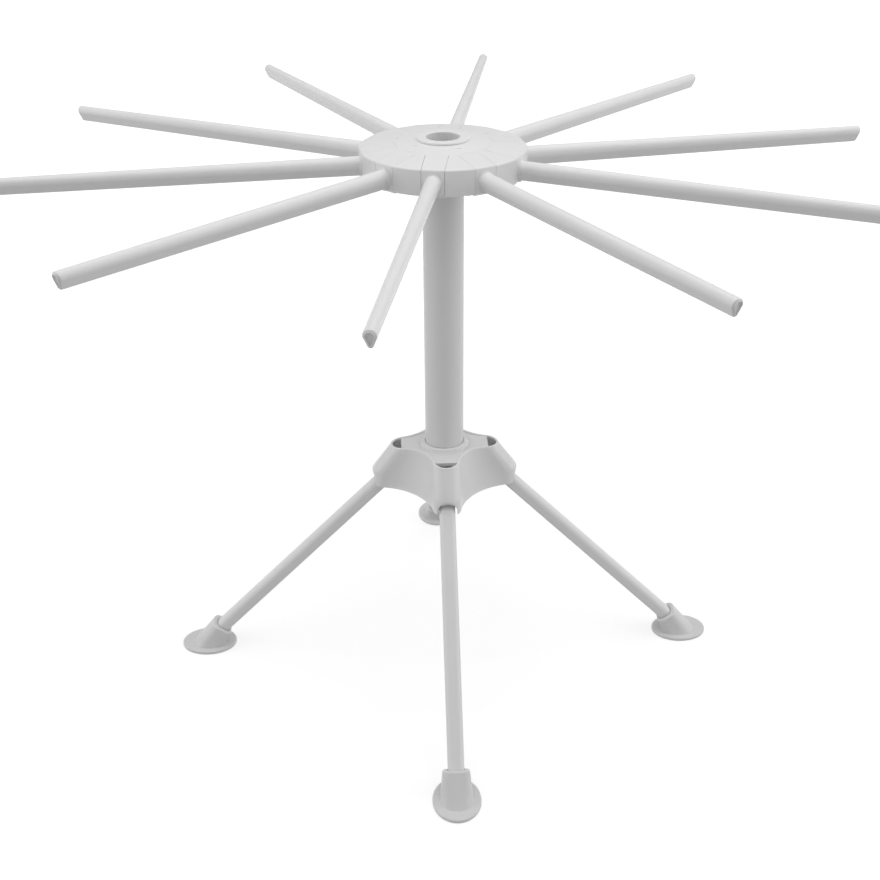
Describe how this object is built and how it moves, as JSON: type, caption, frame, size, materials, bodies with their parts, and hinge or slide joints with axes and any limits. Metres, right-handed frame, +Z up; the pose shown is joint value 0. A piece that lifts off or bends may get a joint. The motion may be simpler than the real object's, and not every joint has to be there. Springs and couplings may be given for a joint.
{
  "type": "pasta drying rack",
  "caption": "Folding pasta drying rack: arms radiate from a round hub on a hollow pole, which stands on splayed legs with oval feet under a lobed collar.",
  "frame": {"origin": "on the table, on the axis of the pole", "axes": "+Z up along the pole; the four legs point along +X, +Y, -X and -Y, and the first arm is 9 degrees from +X towards +Y"},
  "size_m": [0.4214, 0.4214, 0.292],
  "materials": {
    "white_plastic": "satin white moulded plastic",
    "pole_plastic": "satin white extruded plastic",
    "steel_wire": "drawn bright wire"
  },
  "bodies": {
    "stand": {"hub": "white_plastic", "ring_bush": "white_plastic", "hinge_wire": "steel_wire", "pole": "pole_plastic", "pole_cap": "white_plastic", "collar": "white_plastic", "spider": "white_plastic", "leg_pins": "steel_wire"},
    "arm_1": {"arm_1": "white_plastic"},
    "arm_2": {"arm_2": "white_plastic"},
    "arm_3": {"arm_3": "white_plastic"},
    "arm_4": {"arm_4": "white_plastic"},
    "arm_5": {"arm_5": "white_plastic"},
    "arm_6": {"arm_6": "white_plastic"},
    "arm_7": {"arm_7": "white_plastic"},
    "arm_8": {"arm_8": "white_plastic"},
    "arm_9": {"arm_9": "white_plastic"},
    "arm_10": {"arm_10": "white_plastic"},
    "leg_1": {"leg_1": "white_plastic", "foot_1": "white_plastic"},
    "leg_2": {"leg_2": "white_plastic", "foot_2": "white_plastic"},
    "leg_3": {"leg_3": "white_plastic", "foot_3": "white_plastic"},
    "leg_4": {"leg_4": "white_plastic", "foot_4": "white_plastic"}
  },
  "joints": [
    {"name": "arm_1_fold", "type": "hinge", "parent": "stand", "child": "arm_1", "pos_m": [0.03309, 0.00524, 0.2772], "axis": [-0.1564, 0.9877, 0], "range_deg": [0, 87.5]},
    {"name": "arm_2_fold", "type": "hinge", "parent": "stand", "child": "arm_2", "pos_m": [0.02369, 0.02369, 0.2772], "axis": [-0.7071, 0.7071, 0], "range_deg": [0, 87.5]},
    {"name": "arm_3_fold", "type": "hinge", "parent": "stand", "child": "arm_3", "pos_m": [0.00524, 0.03309, 0.2772], "axis": [-0.9877, 0.1564, 0], "range_deg": [0, 87.5]},
    {"name": "arm_4_fold", "type": "hinge", "parent": "stand", "child": "arm_4", "pos_m": [-0.01521, 0.02985, 0.2772], "axis": [-0.891, -0.454, 0], "range_deg": [0, 87.5]},
    {"name": "arm_5_fold", "type": "hinge", "parent": "stand", "child": "arm_5", "pos_m": [-0.02985, 0.01521, 0.2772], "axis": [-0.454, -0.891, 0], "range_deg": [0, 87.5]},
    {"name": "arm_6_fold", "type": "hinge", "parent": "stand", "child": "arm_6", "pos_m": [-0.03309, -0.00524, 0.2772], "axis": [0.1564, -0.9877, 0], "range_deg": [0, 87.5]},
    {"name": "arm_7_fold", "type": "hinge", "parent": "stand", "child": "arm_7", "pos_m": [-0.02369, -0.02369, 0.2772], "axis": [0.7071, -0.7071, 0], "range_deg": [0, 87.5]},
    {"name": "arm_8_fold", "type": "hinge", "parent": "stand", "child": "arm_8", "pos_m": [-0.00524, -0.03309, 0.2772], "axis": [0.9877, -0.1564, 0], "range_deg": [0, 87.5]},
    {"name": "arm_9_fold", "type": "hinge", "parent": "stand", "child": "arm_9", "pos_m": [0.01521, -0.02985, 0.2772], "axis": [0.891, 0.454, 0], "range_deg": [0, 87.5]},
    {"name": "arm_10_fold", "type": "hinge", "parent": "stand", "child": "arm_10", "pos_m": [0.02985, -0.01521, 0.2772], "axis": [0.454, 0.891, 0], "range_deg": [0, 87.5]},
    {"name": "leg_1_fold", "type": "hinge", "parent": "stand", "child": "leg_1", "pos_m": [0.0235, 0, 0.1175], "axis": [0, 1, 0], "range_deg": [0, 45]},
    {"name": "leg_2_fold", "type": "hinge", "parent": "stand", "child": "leg_2", "pos_m": [0, 0.0235, 0.1175], "axis": [-1, 0, 0], "range_deg": [0, 45]},
    {"name": "leg_3_fold", "type": "hinge", "parent": "stand", "child": "leg_3", "pos_m": [-0.0235, 0, 0.1175], "axis": [0, -1, 0], "range_deg": [0, 45]},
    {"name": "leg_4_fold", "type": "hinge", "parent": "stand", "child": "leg_4", "pos_m": [0, -0.0235, 0.1175], "axis": [1, 0, 0], "range_deg": [0, 45]}
  ]
}
